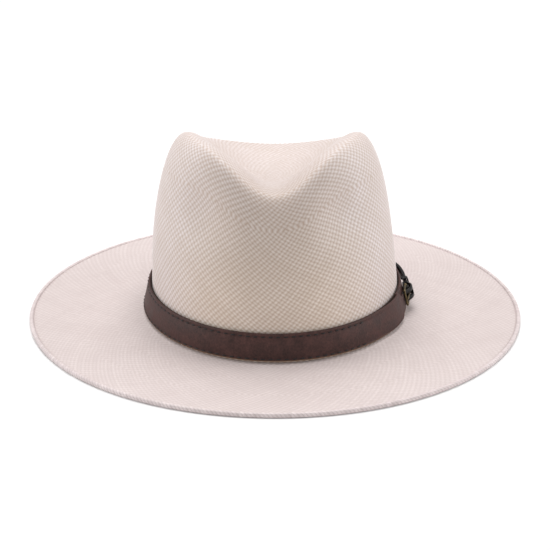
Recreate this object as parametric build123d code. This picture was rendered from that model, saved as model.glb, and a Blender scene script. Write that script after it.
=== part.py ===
"""A panama hat with a pinched front, a belt-style leather band and a small brass buckle.

Millimetres, +Z up.  The origin is under the middle of the brim, on the surface the brim
rests on.  The front of the hat faces -Y and the buckle is on the +X side.
Angles around the hat run anticlockwise from +X, so the front is at -90 degrees.
"""
import os
from math import asin, atan2, cos, degrees, exp, hypot, pi, radians, sin, sqrt

from build123d import *

# ---------------------------------------------------------------- straw body
STRAW = 1.4                         # thickness of the woven straw
RING_POINTS = 40                    # points on each closed outline
EDGE_A, EDGE_B = 153.6, 172.0       # half width and half length of the woven brim
BASE_A, BASE_B, BASE_Z = 82.3, 104.0, 5.6      # where the crown leaves the brim
BRIM_TOP_IN, BRIM_DROP = 4.7, 2.5   # brim height by the crown, and its fall to the edge
BREAK_RUN = 0.02                    # how quickly the brim turns up into the crown
RIDGE_A, RIDGE_B, RIDGE_Y = 52.4, 72.5, -7.5   # crest of the crown in plan
RIDGE_TOP, RIDGE_MID, RIDGE_FALL = 123.6, 117.2, 0.385
RIDGE_SOFT = 5.0                    # how softly the level crest turns downhill
LEAN_X, LEAN_RISE = -1.6, 65.0      # the crown leans a little to the wearer's right
LIP_X, LIP_DROP, LIP_HALF = 1.6, 23.0, 46.0    # the dip in the crest at the front
BACK_DIP = 1.8                      # and the slighter one at the back
FLARE_IN, FLARE_RISE = 0.15, 5.5    # the crown flares out at its base
PINCH_DEPTH = 6.0                   # the two finger hollows beside the front
PINCH_AT, PINCH_SPREAD = radians(40), radians(16)
PINCH_Z, PINCH_RISE = 88.0, 17.0
FLOOR_Z, FLOOR_FALL = 91.0, 0.12    # floor of the long dent in the top
DENT_SPAN = 0.80                    # part of the way in where the dent's side ends
DENT_END = 0.97                     # the skin closes in a small flat disc here

# ---------------------------------------------------------------- edge and sweatband
EDGE_GAP = 0.05
BRAID_A, BRAID_B, BRAID_HIGH, BRAID_ROUND = 156.0, 174.4, 2.9, 0.7
SWEAT_THICK, SWEAT_LOW, SWEAT_HIGH = 0.9, 4.6, 38.0
REED_RADIUS, REED_Z = 0.8, 3.6
THREAD = 0.4
TAB_WIDE, TAB_THICK = 14.0, 0.5
BOW_Z, BOW_LONG, BOW_TALL, BOW_WIDE, BOW_THICK = 30.0, 13.0, 5.0, 5.0, 0.6
BOW_TURN = 8.0                      # degrees each loop turns to follow the curve

# ---------------------------------------------------------------- hatband and buckle
BAND_LOW, BAND_HIGH = 6.5, 23.0
BODY_GAP = 0.35                     # between the crown and the band that lifts off it
LINING_THICK, LEATHER = 0.5, 1.2
LAYER = 0.15                        # air between leather layers that lie on each other
LINING_DROP = 0.35                  # the raw lining shows below the leather
HEEL_Y = -8.0                       # where the buckle's heel bar crosses the band
BAR, FRAME_BAR = 0.85, 0.75         # radii of the heel bar and of the frame
HEEL_UP = 2.35                      # heel bar's centre above the strap's face
FRONT_BAR_AT, FRONT_BAR_UP = -12.0, 1.75
FRAME_HALF = 4.85                   # to the centre of each side rail
TONGUE_HALF = 3.7                   # half height of the narrow end
PIN_GAP = 0.08                      # running clearance on the heel bar
PRONG, PRONG_GAP, PRONG_PAST = 0.65, 0.06, 1.3
CHAPE_HALF, CHAPE_THICK, CHAPE_END = 3.6, 1.05, 11.0
SLOT_WIDE, SLOT_FRONT, SLOT_BACK = 2.2, -8.4, 1.2
HOLE_RADIUS, HOLES_AT = 0.9, (26.0, 34.0)
KEEPER_AT, KEEPER_LONG, KEEPER_THICK = 15.0, 4.0, 0.8
KEEPER_TOP, KEEPER_SPARE = 4.1, 0.35   # the loop's inside height, and its room at each side
BAND_MID_Z, BAND_HALF = (BAND_LOW + BAND_HIGH) / 2, (BAND_HIGH - BAND_LOW) / 2
STRAP_OUT = BODY_GAP + LINING_THICK + LAYER + LEATHER  # the strap's outer face, from the straw
LAP_START = -26.0                   # the strap begins here, under its own end
RAMP_START, RAMP_LONG = -66.0, 30.0    # where it climbs onto its start, one turn on
STITCH_START, STITCH_END = 14.0, -70.0
# half heights of the strap where it narrows, by distance along the band from the heel bar
TAPER = [(-31.0, BAND_HALF), (-27.0, BAND_HALF), (-24.0, 7.4), (-21.0, 5.4), (-18.5, 4.1),
         (-16.5, TONGUE_HALF), (-14.0, TONGUE_HALF), (-12.0, TONGUE_HALF), (-10.3, TONGUE_HALF)]
# height of its underside over the heel bar and on towards the tip, which stands off a little
HUMP = [(-9.0, 0.35), (-7.6, 0.95), (-6.3, 1.85), (-5.0, 2.85), (-3.8, 3.75), (-2.6, 4.42),
        (-1.3, 4.82), (0.0, 4.95), (1.4, 4.85), (2.8, 4.5), (4.4, 3.95), (6.2, 3.4),
        (8.5, 3.0), (11.0, 2.75), (14.0, 2.5), (17.0, 2.35), (20.0, 2.2), (24.0, 2.0),
        (28.0, 1.7), (32.0, 1.35), (36.0, 1.0), (40.0, 0.65), (44.0, 0.35), (46.5, 0.2)]
TIP = [(48.0, 3.3), (50.0, 2.3), (51.2, 0.9)]   # half heights of the rounded tip


def smooth(x):
    x = min(1.0, max(0.0, x))
    return x * x * (3 - 2 * x)


# ---------------------------------------------------------------- the shape of the hat
def ridge_height(t):
    """Height of the crown's crest at angle t."""
    x, y = RIDGE_A * cos(t), RIDGE_Y + RIDGE_B * sin(t)
    over = RIDGE_MID - RIDGE_FALL * y - RIDGE_TOP
    h = RIDGE_TOP + (over - sqrt(over * over + RIDGE_SOFT ** 2) + 0.6 * RIDGE_SOFT) / 2
    if abs(x - LIP_X) < LIP_HALF:
        front, back = smooth((-y - 20) / 25), smooth((y - 20) / 25)
        h -= (front * LIP_DROP + back * BACK_DIP) * cos(pi * (x - LIP_X) / (2 * LIP_HALF)) ** 2
    return h


def outward(t):
    """Unit direction out of the hat in plan, at angle t."""
    nx, ny = cos(t) / BASE_A, sin(t) / BASE_B
    return nx / hypot(nx, ny), ny / hypot(nx, ny)


def wall(t, phi):
    """Outside of the crown, from its base (phi 0) to its crest (phi a quarter turn)."""
    z = BASE_Z + (ridge_height(t) - BASE_Z) * sin(phi)
    inward = FLARE_IN * (1 - exp(-(z - BASE_Z) / FLARE_RISE)) + (1 - FLARE_IN) * (1 - cos(phi))
    x = BASE_A * cos(t) * (1 - inward) + RIDGE_A * cos(t) * inward
    y = BASE_B * sin(t) * (1 - inward) + (RIDGE_Y + RIDGE_B * sin(t)) * inward
    from_front = abs((t + 1.5 * pi) % (2 * pi) - pi)
    across, up = (from_front - PINCH_AT) / PINCH_SPREAD, (z - PINCH_Z) / PINCH_RISE
    pinch = PINCH_DEPTH * exp(-across ** 2 - up ** 2)
    nx, ny = outward(t)
    lean = LEAN_X * smooth((z - BASE_Z) / LEAN_RISE)
    return x - pinch * nx + lean, y - pinch * ny, z


def dent(t, k):
    """Top of the crown, from the crest (k 0) towards the middle of the dent (k 1)."""
    x, y, z = wall(t, pi / 2)
    x, y = LEAN_X + (x - LEAN_X) * (1 - k), RIDGE_Y + (y - RIDGE_Y) * (1 - k)
    floor = FLOOR_Z - FLOOR_FALL * (RIDGE_Y if k >= DENT_END else y)
    return x, y, z + (floor - z) * smooth(k / DENT_SPAN)


def brim(t, r):
    """Top of the brim, from the crown's base (r 0) to the edge (r 1)."""
    x = (BASE_A + (EDGE_A - BASE_A) * r) * cos(t)
    y = (BASE_B + (EDGE_B - BASE_B) * r) * sin(t)
    rise = (BASE_Z - BRIM_TOP_IN) * exp(-r / BREAK_RUN)
    return x, y, BRIM_TOP_IN - BRIM_DROP * r ** 1.3 + rise


def skin(t, v):
    """The whole outer surface: v 0 to 1 is the brim, 1 to 2 the wall, 2 to 3 the dent."""
    if v < 1:
        return brim(t, 1 - v)
    if v < 2:
        return wall(t, (v - 1) * pi / 2)
    return dent(t, (v - 2) * DENT_END)


def skin_ring(v, depth):
    """A closed outline on the skin, or at a depth below it."""
    points = []
    for i in range(RING_POINTS):
        t, dt, dv = 2 * pi * i / RING_POINTS, 0.002, 0.004
        here = Vector(*skin(t, v))
        if depth:
            around = Vector(*skin(t + dt, v)) - Vector(*skin(t - dt, v))
            along = Vector(*skin(t, min(v + dv, 3))) - Vector(*skin(t, max(v - dv, 0)))
            normal = Vector(0, 0, 1) if v < 0.9 or v >= 3 else around.cross(along).normalized()
            here = here - normal * depth
        points.append(here)
    return closed(points)


def closed(points):
    return Wire(Edge.make_spline(points, periodic=True))


def oval(a, b, z):
    steps = [2 * pi * i / RING_POINTS for i in range(RING_POINTS)]
    return closed([Vector(a * cos(t), b * sin(t), z) for t in steps])


def plate(a, b, low, high):
    return Solid.extrude(Face(oval(a, b, low)), Vector(0, 0, high - low))


def stations(first):
    """Where the rings of the skin lie: close together at bends, wide apart elsewhere."""
    brim_steps = [first, 0.15, 0.35, 0.55, 0.72, 0.85, 0.93, 0.975]
    wall_steps = [0.0, 0.015, 0.035, 0.065, 0.11, 0.17, 0.25, 0.34, 0.43, 0.52, 0.6, 0.68,
                  0.76, 0.84, 0.91, 0.97]
    dent_steps = [0.03, 0.09, 0.16, 0.25, 0.35, 0.46, 0.58, 0.7, 0.82, 0.92, 1.0]
    return brim_steps + [1 + s for s in wall_steps] + [2 + s for s in dent_steps]


def build_straw_body():
    edge_top = BRIM_TOP_IN - BRIM_DROP
    outer = Solid.make_loft([skin_ring(v, 0) for v in stations(0.0)])
    outer = outer.fuse(plate(EDGE_A, EDGE_B, edge_top - STRAW, edge_top))
    lip = 0.015
    rings = [skin_ring(v, STRAW) for v in stations(lip)]
    inner = Solid.make_loft(rings)
    floor = brim(0, 1 - lip)[2] - STRAW
    ax, by = brim(0, 1 - lip)[0], brim(pi / 2, 1 - lip)[1]
    inner = inner.fuse(plate(ax, by, floor - 1.0, floor))
    return outer.cut(inner)


def build_edge_braid():
    """The back-woven edge: a cord of straw all round the brim, flat where it rests."""
    r = BRAID_ROUND
    body = Solid.make_loft([oval(BRAID_A - r, BRAID_B - r, 0), oval(BRAID_A, BRAID_B, r)], True)
    body = body.fuse(plate(BRAID_A, BRAID_B, r, BRAID_HIGH - r))
    top = [oval(BRAID_A, BRAID_B, BRAID_HIGH - r), oval(BRAID_A - r, BRAID_B - r, BRAID_HIGH)]
    body = body.fuse(Solid.make_loft(top, True))
    return body.cut(plate(EDGE_A + EDGE_GAP, EDGE_B + EDGE_GAP, -1, BRAID_HIGH + 1))


# ---------------------------------------------------------------- rings inside the crown
def wall_point(t, z, off):
    """A point at height z, a distance off outside the crown's wall (inside if negative)."""
    ratio = (z - BASE_Z) / (ridge_height(t) - BASE_Z)
    nx, ny = outward(t)
    if ratio <= 0:
        x, y, _ = wall(t, 0)
    else:
        x, y, _ = wall(t, asin(ratio))
    return Vector(x + off * nx, y + off * ny, z)


def wall_ring(z, off):
    steps = [2 * pi * i / RING_POINTS for i in range(RING_POINTS)]
    return closed([wall_point(t, z, off) for t in steps])


def ring_solid(heights, inner, outer):
    """A closed band round the crown between two distances from its wall."""
    body = Solid.make_loft([wall_ring(z, outer) for z in heights], True)
    hole = [heights[0] - 0.4] + heights + [heights[-1] + 0.4]
    return body.cut(Solid.make_loft([wall_ring(z, inner) for z in hole], True))


SWEAT_OUT = -(STRAW + 0.25)
SWEAT_IN = SWEAT_OUT - SWEAT_THICK


def build_sweatband():
    return ring_solid([SWEAT_LOW, 6.2, 8.0, 11.0, 16.0, 22.0, 30.0, SWEAT_HIGH], SWEAT_IN, SWEAT_OUT)


def build_sweatband_reed():
    """A springy plastic reed that stiffens the sweatband's lower edge."""
    middle = SWEAT_OUT - 0.05 - REED_RADIUS
    around = [wall_point(2 * pi * i / RING_POINTS, BASE_Z, middle) for i in range(RING_POINTS)]
    path = [Vector(p.X, p.Y, REED_Z) for p in around]
    section = Wire.make_circle(REED_RADIUS, Plane(path[0], (1, 0, 0), (0, 1, 0)))
    return Solid.sweep(section, path=closed(path))


def build_sweatband_stitching():
    """The row of thread that sews the sweatband to the crown."""
    return ring_solid([7.2, 7.2 + THREAD], SWEAT_IN - THREAD, SWEAT_IN - 0.02)


TAB_OUT = SWEAT_IN - 0.3
TAB_IN = TAB_OUT - TAB_THICK


def build_seam_tab():
    """The tape over the sweatband's joint at the back."""
    ring = ring_solid([9.0, 14.5, 20.0, 25.5, 31.0, SWEAT_HIGH - 1.5], TAB_IN, TAB_OUT)
    return ring.intersect(Box(TAB_WIDE, 40, 200).moved(Location((0, BASE_B, 0))))


def bow_place():
    """The bow's frame: on the tape's face, with x along the band and z out of it."""
    up = wall_point(pi / 2, BOW_Z + 5, TAB_IN) - wall_point(pi / 2, BOW_Z - 5, TAB_IN)
    at = wall_point(pi / 2, BOW_Z, TAB_IN - 0.25)
    return Plane(at, x_dir=(1, 0, 0), z_dir=Vector(1, 0, 0).cross(up))


def bow_loop(side):
    outer = Ellipse(BOW_LONG / 2, BOW_TALL / 2)
    inner = Ellipse(BOW_LONG / 2 - BOW_THICK, BOW_TALL / 2 - BOW_THICK)
    loop = extrude(outer - inner, BOW_WIDE / 2, both=True)
    loop = loop.rotate(Axis.X, 90).rotate(Axis.Y, -side * BOW_TURN)
    return loop.moved(Location((side * (BOW_LONG / 2 + 1.9), 0, BOW_TALL / 2 + 0.9)))


def build_bow():
    place = bow_place()
    return [place * bow_loop(side) for side in (-1, 1)]


def build_bow_knot():
    knot = Box(3.2, BOW_WIDE + 1.2, BOW_TALL * 0.8)
    knot = fillet(knot.edges(), 0.7)
    return bow_place() * knot.moved(Location((0, 0, BOW_TALL * 0.4 + 0.02)))


# ---------------------------------------------------------------- the leather hatband
HEEL_T = asin(HEEL_Y / BASE_B)
ARC = (wall_point(HEEL_T + 0.01, BAND_MID_Z, STRAP_OUT)
       - wall_point(HEEL_T - 0.01, BAND_MID_Z, STRAP_OUT)).length / 0.02


def band_point(t, z, off):
    """Like wall_point, but on the straight slope of the stiff leather band."""
    low, high = wall_point(t, BAND_LOW, off), wall_point(t, BAND_HIGH, off)
    return low + (high - low) * ((z - BAND_LOW) / (BAND_HIGH - BAND_LOW))


def band_side(t):
    """Level direction along the band at angle t, towards the back on the buckle's side."""
    return band_point(t + 0.01, BAND_MID_Z, STRAP_OUT) - band_point(t - 0.01, BAND_MID_Z, STRAP_OUT)


def band_rise(t):
    """Direction straight up the band's slope at angle t."""
    return band_point(t, BAND_HIGH, STRAP_OUT) - band_point(t, BAND_LOW, STRAP_OUT)


def lay(s, n, z):
    """A point s along the band from the heel bar and n proud of the strap's face, square to it."""
    t = HEEL_T + s / ARC
    return band_point(t, z, STRAP_OUT) + band_side(t).cross(band_rise(t)).normalized() * n


def buckle_plane():
    """The buckle's frame: x towards the back along the band, y up it, z out of it."""
    side = band_side(HEEL_T)
    return Plane(lay(0, 0, BAND_MID_Z), x_dir=side, z_dir=side.cross(band_rise(HEEL_T)))


def strip(path, thick):
    """A leather strip along path: (s, n of its underside, half height at the crown's slope)."""
    sections = []
    for i, (s, n, half) in enumerate(path):
        before, after = path[max(i - 1, 0)], path[min(i + 1, len(path) - 1)]
        slope = (after[1] - before[1]) / (after[0] - before[0])
        over = n + thick * sqrt(1 + slope * slope)
        low, high = BAND_MID_Z - half, BAND_MID_Z + half
        corners = [lay(s, n, low), lay(s, over, low), lay(s, over, high), lay(s, n, high)]
        sections.append(Wire.make_polygon(corners))
    return Solid.make_loft(sections)


def strap_path():
    """Once round the hat, over its own start, under the buckle and back over it."""
    lap, turn, around = -LEATHER, 2 * pi * ARC, 60
    ramp = turn + RAMP_START
    path = [(LAP_START + (ramp - LAP_START) * i / around, lap, BAND_HALF) for i in range(around + 1)]
    path += [(ramp + RAMP_LONG * a, lap + (LAYER - lap) * smooth(a), BAND_HALF)
             for a in (0.1, 0.25, 0.4, 0.6, 0.75, 0.9, 1.0)]
    path += [(turn + s, LAYER, half) for s, half in TAPER]
    path += [(turn + s, n, TONGUE_HALF) for s, n in HUMP]
    return path + [(turn + s, LAYER, half) for s, half in TIP]


def build_strap():
    path, place = strap_path(), buckle_plane()
    split = next(i for i, step in enumerate(path) if step[2] < TONGUE_HALF + 0.01)
    body, strap = strip(path[:split + 1], LEATHER), strip(path[split:], LEATHER)
    slot = Box(SLOT_BACK - SLOT_FRONT, SLOT_WIDE, 5.0)
    strap = strap.cut(place * slot.moved(Location(((SLOT_FRONT + SLOT_BACK) / 2, 0, 4.6))))
    for s in HOLES_AT:
        out = Vector(*outward(HEEL_T + s / ARC), 0)
        hole = Plane(lay(s, LAYER, BAND_MID_Z), z_dir=out)
        strap = strap.cut(Solid.make_cylinder(HOLE_RADIUS, 3 * LEATHER, hole))
    return strap.fuse(body)


def build_lining():
    """Tan backing, a little longer below than the leather, so its raw edge shows."""
    steps = [2 * pi * i / RING_POINTS for i in range(RING_POINTS)]
    low, high, out = BAND_LOW - LINING_DROP, BAND_HIGH - 0.4, BODY_GAP + LINING_THICK - 0.05

    def rings(z_low, z_high, off):
        return [closed([band_point(t, z, off) for t in steps]) for z in (z_low, z_high)]

    body = Solid.make_loft(rings(low, high, out), True)
    return body.cut(Solid.make_loft(rings(low - 0.5, high + 0.5, BODY_GAP), True))


def stitch_row(z):
    """A row of thread sunk in the strap's face, clear of the buckle end."""
    last, count = 2 * pi * ARC + STITCH_END, 60
    sections = []
    for i in range(count + 1):
        s = STITCH_START + (last - STITCH_START) * i / count
        corners = [(-0.2, z), (0.15, z), (0.15, z + THREAD), (-0.2, z + THREAD)]
        sections.append(Wire.make_polygon([lay(s, n, up) for n, up in corners]))
    return Solid.make_loft(sections)


def teardrop(radius, tail):
    """The region bounded by a fold of a radius about the heel bar and lines to its tail."""
    low, top = HEEL_UP - radius, HEEL_UP + radius
    corners = [(0, top), *tail, (0, low)]
    points = [Vector(s, -CHAPE_HALF, n) for s, n in corners]
    edges = [Edge.make_line(p, q) for p, q in zip(points, points[1:])]
    front = Vector(-radius, -CHAPE_HALF, HEEL_UP)
    edges.append(Edge.make_three_point_arc(points[-1], front, points[0]))
    return Solid.extrude(Face(Wire(edges)), Vector(0, 2 * CHAPE_HALF, 0))


def build_chape():
    """The leather tab folded round the heel bar and stitched down behind it."""
    inner, outer = BAR + PIN_GAP, BAR + PIN_GAP + CHAPE_THICK
    low, top = HEEL_UP - outer, HEEL_UP + outer
    under = low - 0.5               # the tab follows the band as it curves away
    tab = teardrop(outer, [(2.2, top - 0.1), (5.5, 2.5), (CHAPE_END, 1.95), (CHAPE_END, under)])
    tab = tab.cut(teardrop(inner, [(1.9, top - CHAPE_THICK - 0.15), (4.9, 1.45)]))
    slot_end = 3.4
    slot_long = outer + slot_end + 1.0
    slot = Box(slot_long, SLOT_WIDE, 8).moved(Location((slot_end - slot_long / 2, 0, HEEL_UP)))
    return buckle_plane() * (Part() + tab - slot)


def build_chape_stitches():
    """Two short stitches, one beside each edge of the tab."""
    place, long, at, beside, height, slope = buckle_plane(), 3.0, 8.3, 2.4, 2.2, 5.8
    threads = []
    for side in (-1, 1):
        bar = Cylinder(THREAD / 2, long, rotation=(0, 90, 0))
        threads.append(place * bar.moved(Location((at, side * beside, height), (0, slope, 0))))
    return threads


def loop_outlines(half, base, cap, first, last):
    """Outlines square to the strap, at three places along it."""
    low, high = BAND_MID_Z - half, BAND_MID_Z + half
    corners = [(base, low), (cap, low), (cap, high), (base, high)]
    return [Wire.make_polygon([lay(s, n, z) for n, z in corners])
            for s in (first, (first + last) / 2, last)]


def build_keeper():
    """A loop of leather sewn to the strap, over the loose end."""
    first, last = KEEPER_AT - KEEPER_LONG / 2, KEEPER_AT + KEEPER_LONG / 2
    half, past = TONGUE_HALF + KEEPER_SPARE, 0.5
    outer = loop_outlines(half + KEEPER_THICK, LAYER, KEEPER_TOP + KEEPER_THICK, first, last)
    inner = loop_outlines(half, -past, KEEPER_TOP, first - past, last + past)
    return Solid.make_loft(outer).cut(Solid.make_loft(inner))


def build_buckle_frame():
    """A bent brass frame: two rails and a front bar, with the heel bar across its end."""
    place = buckle_plane()
    r, corner = FRAME_BAR, 2.2
    lean = degrees(atan2(HEEL_UP - FRONT_BAR_UP, -FRONT_BAR_AT))
    half, front = FRAME_HALF, FRONT_BAR_AT
    outline = FilletPolyline((0, -half, 0), (front, -half, 0), (front, half, 0), (0, half, 0),
                             radius=corner)
    section = Plane(outline @ 0, z_dir=outline % 0) * Circle(r)
    frame = sweep(section, path=outline)
    for side in (-1, 1):
        frame = frame + Sphere(BAR + 0.25).moved(Location((0, side * half, 0)))
    frame = frame + Cylinder(BAR, 2 * half, rotation=(90, 0, 0))
    frame = frame.rotate(Axis.Y, -lean)
    return place * frame.moved(Location((0, 0, HEEL_UP)))


def build_prong():
    """The prong: an eye round the heel bar and a tapered shank that rests on the front bar."""
    place = buckle_plane()
    eye_radius, fine = BAR + PRONG_GAP + PRONG, PRONG * 0.8
    eye = Torus(eye_radius, PRONG).rotate(Axis.X, 90).moved(Location((0, 0, HEEL_UP)))
    knee = Vector(-2.5, 0, HEEL_UP + eye_radius - 0.05)
    tip = Vector(FRONT_BAR_AT - PRONG_PAST, 0, FRONT_BAR_UP + FRAME_BAR + fine + 0.04)
    shank = Solid.make_cylinder(PRONG, -knee.X, Plane(knee, z_dir=(1, 0, 0)))
    run = tip - knee
    cone = Solid.make_cone(PRONG, fine, run.length, Plane(knee, z_dir=run))
    ends = Sphere(PRONG).moved(Location(knee)) + Sphere(fine).moved(Location(tip))
    prong = eye + shank + cone + ends
    prong = prong - Cylinder(BAR + PRONG_GAP, 4, rotation=(90, 0, 0)).moved(Location((0, 0, HEEL_UP)))
    return place * prong


PARTS = {
    "straw_body": build_straw_body,
    "brim_edge_braid": build_edge_braid,
    "sweatband": build_sweatband,
    "sweatband_reed": build_sweatband_reed,
    "sweatband_stitching": build_sweatband_stitching,
    "sweatband_seam_tab": build_seam_tab,
    "sweatband_bow": build_bow,
    "sweatband_bow_knot": build_bow_knot,
    "hatband_strap": build_strap,
    "hatband_lining": build_lining,
    "hatband_upper_stitching": lambda: stitch_row(BAND_HIGH - 2.3),
    "hatband_lower_stitching": lambda: stitch_row(BAND_LOW + 1.5),
    "buckle_chape": build_chape,
    "chape_stitches": build_chape_stitches,
    "keeper_loop": build_keeper,
    "buckle_frame": build_buckle_frame,
    "buckle_prong": build_prong,
}


def main():
    os.makedirs("parts", exist_ok=True)
    for name, build in PARTS.items():
        made = build()
        if isinstance(made, list):
            made = Compound(children=[piece for part in made for piece in part.solids()])
        export_step(made, f"parts/{name}.step")
        print(name, "volume", round(made.volume, 1))
    heel = buckle_plane()
    up = heel.y_dir
    pivot = heel.origin + heel.z_dir * HEEL_UP
    print("heel bar at", [round(c, 3) for c in pivot], "along", [round(c, 5) for c in up])


main()
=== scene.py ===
"""Looks for a panama hat: woven straw, a stitched leather band and a small brass buckle.

The shape functions work in millimetres, and loose_mesh turns their points into metres.
The front of the hat faces -Y, and the buckle is on the +X side.
"""
from math import asin, cos, hypot, pi, radians, sin

import bpy
import numpy as np
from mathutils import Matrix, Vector


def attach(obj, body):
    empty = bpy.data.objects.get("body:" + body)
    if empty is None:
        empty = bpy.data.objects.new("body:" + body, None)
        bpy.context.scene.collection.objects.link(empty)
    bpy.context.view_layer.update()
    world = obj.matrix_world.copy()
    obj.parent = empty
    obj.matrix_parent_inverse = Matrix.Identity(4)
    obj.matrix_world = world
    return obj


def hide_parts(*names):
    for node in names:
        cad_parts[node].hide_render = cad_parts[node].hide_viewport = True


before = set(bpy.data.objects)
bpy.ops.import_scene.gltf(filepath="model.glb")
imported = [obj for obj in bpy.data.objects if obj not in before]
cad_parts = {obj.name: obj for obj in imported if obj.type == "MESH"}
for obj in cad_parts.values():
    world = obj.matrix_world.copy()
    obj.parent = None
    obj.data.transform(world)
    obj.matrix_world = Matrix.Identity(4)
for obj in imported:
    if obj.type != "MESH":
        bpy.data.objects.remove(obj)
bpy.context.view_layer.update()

MM = 0.001
TURN = 2 * pi
SEED = 7

# ---------------------------------------------------------------- the hat's own sizes, mm
# A and B are half widths along X and Y, and Z is a height above the floor.
STRAW = 1.4
EDGE_A, EDGE_B = 153.6, 172.0                     # the brim's edge
BASE_A, BASE_B, BASE_Z = 82.3, 104.0, 5.6         # where the crown rises from the brim
BRIM_TOP_IN, BRIM_DROP, BRIM_CURVE, BREAK_RUN = 4.7, 2.5, 1.3, 0.02
RIDGE_A, RIDGE_B, RIDGE_Y = 52.4, 72.5, -7.5      # the crown's crest
RIDGE_TOP, RIDGE_MID, RIDGE_FALL, RIDGE_SOFT = 123.6, 117.2, 0.385, 5.0
LEAN_X, LEAN_RISE = -1.6, 65.0
LIP_X, LIP_DROP, LIP_HALF, BACK_DIP = 1.6, 23.0, 46.0, 1.8
DIP_FROM, DIP_RUN = 20, 25                        # how far from the middle the lip and back dip
FLARE_IN, FLARE_RISE = 0.15, 5.5
PINCH_DEPTH, PINCH_AT, PINCH_SPREAD = 6.0, radians(40), radians(16)
PINCH_Z, PINCH_RISE = 88.0, 17.0
FLOOR_Z, FLOOR_FALL, DENT_SPAN, DENT_END = 91.0, 0.12, 0.80, 0.97
BRAID_OUT, BRAID_HALF, BRAID_HIGH = 156.0 - EDGE_A, 1.35, 2.9

BAND_LOW, BAND_HIGH = 6.5, 23.0
BAND_MID_Z = (BAND_LOW + BAND_HIGH) / 2
BODY_GAP, LINING_THICK, LEATHER, LAYER = 0.35, 0.5, 1.2, 0.15
STRAP_OUT = BODY_GAP + LINING_THICK + LAYER + LEATHER
LINING_DROP, LINING_TUCK, LINING_SPARE = 0.35, 0.4, 0.05
BAND_START, RAMP_BEFORE, RAMP_LONG = -26.0, 66, 30  # the band climbs over its own start there
STITCH_PITCH, STITCH_LONG, STITCH_THICK = 5.8, 3.5, 0.42
UPPER_ROW, LOWER_ROW, GROOVE_DEEP = 2.1, 1.35, 0.22  # rows from the edges, and their grooves
STITCH_FIRST, STITCH_LAST = 14.0, 70              # a row's start, and its end before a full turn
HEEL_Y = -8.0                                     # the buckle's heel bar
TONGUE_HALF, SLOT_WIDE, SLOT_FRONT, SLOT_BACK = 3.7, 2.2, -8.4, 1.2
HOLE_RADIUS, HOLES_AT = 0.9, (26.0, 34.0)
KEEPER_AT, KEEPER_LONG, KEEPER_THICK, KEEPER_TOP, KEEPER_SPARE = 15.0, 4.0, 0.8, 3.85, 0.18
KEEPER_CORNER = 1.1
SPRING, SPRING_FROM, SPRING_TO = 1.4, 12.0, 60.0  # how far the loose end springs off the band
TIP_RISE, RISE_FROM, RISE_LONG = 2.4, 12.0, 34.0  # and how far it wanders up
END_PAD, PAD_FROM, PAD_TO = 0.8, 5.0, 50.0        # the loose end is padded on its underside
PAD_GROWS, PAD_FADES = 4, 8

SWEAT_THICK, SWEAT_LOW, SWEAT_HIGH, SWEAT_SEAM = 0.9, 4.6, 38.0, 7.3
SWEAT_CREASE, SWEAT_WAVE = 3.0, 0.12
SWEAT_OUT = -(STRAW + 0.25)
SWEAT_IN = SWEAT_OUT - SWEAT_THICK
SEAM_COUNT, SEAM_PITCH, SEAM_LONG, SEAM_THICK = 130, 4.4, 3.1, 0.22
TAB_HALF, TAB_THICK, TAB_LOW, TAB_HIGH, TAB_WAVE = 7.0, 0.5, 9.0, 36.5, 0.05
TAB_OUT = SWEAT_IN - 0.3
TAB_IN = TAB_OUT - TAB_THICK
BOW_Z, BOW_LONG, BOW_TALL, BOW_HALF, BOW_THICK = 30.0, 13.0, 5.0, 2.5, 0.6
KNOT_HALF, KNOT_TALL, KNOT_DEEP, KNOT_OUT = 1.6, 3.1, 2.0, 2.02

# ---------------------------------------------------------------- the weave, mm
ROW = 1.6                # from one row of crossings to the next
COLUMN = 2.57 * ROW      # between crossings of the same row
SLANT = -0.215           # how far each row is moved round, in rows
CROWN_RELIEF = 0.28      # how far a strand stands proud where it passes over
BRIM_RELIEF = 0.20       # less on the brim, which is pressed flat
UNDER_RELIEF = 0.10      # the same on the inside
SKIN_SINK = 0.18         # the strands' mean surface lies this far under the drawn one
UNDER_SINK = STRAW - 0.1  # and this far on the inside
GROOVE = -0.1            # height of a strand's edge, where 1 is its top and -1 the bottom
ZONE_CHANGE = 0.15       # strands are added once the ring has grown by this part
ZONE_ROWS = 3            # and at least this many rows on
OVER, UNDER = 1.0, -0.9              # height of a crossing that shows, and of one that dives
EDGE_OVER, EDGE_UNDER = 0.7, -0.8    # the same where strands are added
DIVE_SHARE = 0.64        # how far a strand's edge is drawn towards the one that dives
DENT_CALM = 0.55         # the blocked top is pressed smoother by this part
CALM_FROM, CALM_RUN = 1.95, 0.25     # from just under the crest on, as v in skin()
CROWN_END = 2.955        # v where the crown's rows stop and the button in its middle starts


# ---------------------------------------------------------------- the shape of the hat
def smooth(x):
    x = np.clip(x, 0, 1)
    return x * x * (3 - 2 * x)


def unit(v):
    return v / np.linalg.norm(v, axis=-1, keepdims=True)


def xyz(x, y, z):
    return np.stack(np.broadcast_arrays(x, y, z), axis=-1)


def squared(wave, power):
    """A sine or cosine with flatter tops, for rounded boxes instead of circles."""
    return np.sign(wave) * abs(wave) ** power


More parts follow.
